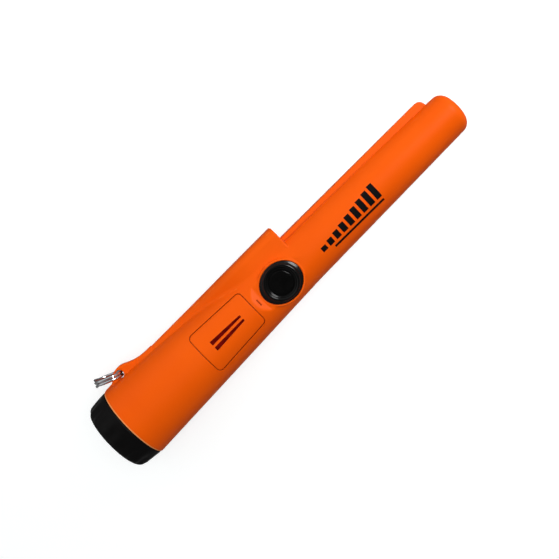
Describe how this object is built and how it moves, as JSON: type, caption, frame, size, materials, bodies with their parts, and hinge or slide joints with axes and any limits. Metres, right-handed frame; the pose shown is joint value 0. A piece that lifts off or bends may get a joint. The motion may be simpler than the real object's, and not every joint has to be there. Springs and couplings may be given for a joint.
{
  "type": "pinpointer probe",
  "caption": "Hand-held metal-detecting pinpointer with a tapered sensing shaft, push button, speaker, lamp, screw-on battery cap and lanyard ring.",
  "frame": {"origin": "centre of the battery cap's end face, on its twist bar", "axes": "+X along the probe from the battery cap to the sensing tip; +Z out of the side with the push button and the speaker; +Y towards the lanyard ear, the lamp hood and the scraper blade"},
  "size_m": [0.2284, 0.0474, 0.0396],
  "materials": {
    "orange_plastic": "moulded, fine satin texture",
    "black_plastic": "moulded, satin",
    "black_rubber": "smooth elastomer with a soft sheen",
    "red_cloth": "waterproof acoustic cloth, fine weave",
    "foam": "open-cell foam",
    "grey_plastic": "moulded, matte",
    "white_plastic": "natural nylon",
    "clear_plastic": "clear, polished",
    "circuit_board": "solder mask over glass laminate",
    "chip_plastic": "moulded epoxy",
    "red_wire": "wire insulation",
    "black_wire": "wire insulation",
    "ferrite": "sintered, matte",
    "steel": "bright plated steel",
    "nickel": "nickel plated",
    "copper": "enamelled copper wire, wound"
  },
  "bodies": {
    "housing": {"main_housing": "orange_plastic", "battery_case": "grey_plastic", "battery_terminal_positive": "nickel", "battery_terminal_negative": "nickel", "contact_board": "circuit_board", "contact_spring_positive": "nickel", "contact_spring_negative": "nickel", "battery_lead_red": "red_wire", "battery_lead_black": "black_wire", "chassis": "grey_plastic", "main_circuit_board": "circuit_board", "board_screw_1": "steel", "board_screw_2": "steel", "board_screw_3": "steel", "processor_chip": "chip_plastic", "amplifier_chip": "chip_plastic", "crystal": "nickel", "capacitor_1": "black_plastic", "capacitor_2": "black_plastic", "capacitor_3": "black_plastic", "button_surround": "black_rubber", "button_gasket": "black_rubber", "switch_body": "chip_plastic", "speaker_cover": "orange_plastic", "speaker_membrane": "red_cloth", "speaker_gasket": "foam", "speaker_frame": "nickel", "speaker_magnet": "steel", "speaker_lead_1": "red_wire", "speaker_lead_2": "red_wire", "motor_lead_1": "black_wire", "motor_lead_2": "black_wire", "lamp_lead_1": "red_wire", "lamp_lead_2": "red_wire", "lamp_lens": "clear_plastic", "lamp": "clear_plastic", "lamp_board": "circuit_board", "motor_can": "steel", "motor_bracket": "grey_plastic", "coil_former": "white_plastic", "ferrite_core": "ferrite", "receive_coil_rear": "copper", "transmit_coil": "copper", "receive_coil_front": "copper", "coil_lead_transmit": "red_wire", "coil_lead_receive": "black_wire", "tip_cushion": "foam"},
    "cap_seal": {"cap_o_ring": "black_rubber"},
    "cap": {"battery_cap": "black_plastic", "battery_pad": "foam"},
    "button": {"power_button": "black_rubber", "button_plunger": "white_plastic", "switch_stem": "white_plastic"},
    "diaphragm": {"speaker_diaphragm": "clear_plastic"},
    "rotor": {"motor_shaft": "steel", "motor_weight": "nickel"},
    "ring": {"lanyard_ring": "steel"}
  },
  "joints": [
    {"name": "cap_travel", "type": "slide", "parent": "housing", "child": "cap_seal", "axis": [-1, 0, 0], "range_m": [0, 0.0045]},
    {"name": "cap_turn", "type": "hinge", "parent": "cap_seal", "child": "cap", "pos_m": [0, 0, 0], "axis": [-1, 0, 0], "range_deg": [0, 540]},
    {"name": "button_press", "type": "slide", "parent": "housing", "child": "button", "axis": [0, 0, -1], "range_m": [0, 0.001], "stiffness_N_per_m": 2500, "springref_m": -0.0004},
    {"name": "diaphragm_move", "type": "slide", "parent": "housing", "child": "diaphragm", "axis": [0, 0, 1], "range_m": [-0.0003, 0.0003], "stiffness_N_per_m": 400},
    {"name": "rotor_spin", "type": "hinge", "parent": "housing", "child": "rotor", "pos_m": [0.1, 0, -0.008], "axis": [1, 0, 0], "continuous": true},
    {"name": "ring_swing", "type": "hinge", "parent": "housing", "child": "ring", "pos_m": [0.0239, 0.0208, 0], "axis": [0, 0, 1], "range_deg": [-145, 12]}
  ],
  "couplings": [
    {"joint": "cap_travel", "follows": "cap_turn", "m_per_rad": 0.00047746}
  ]
}
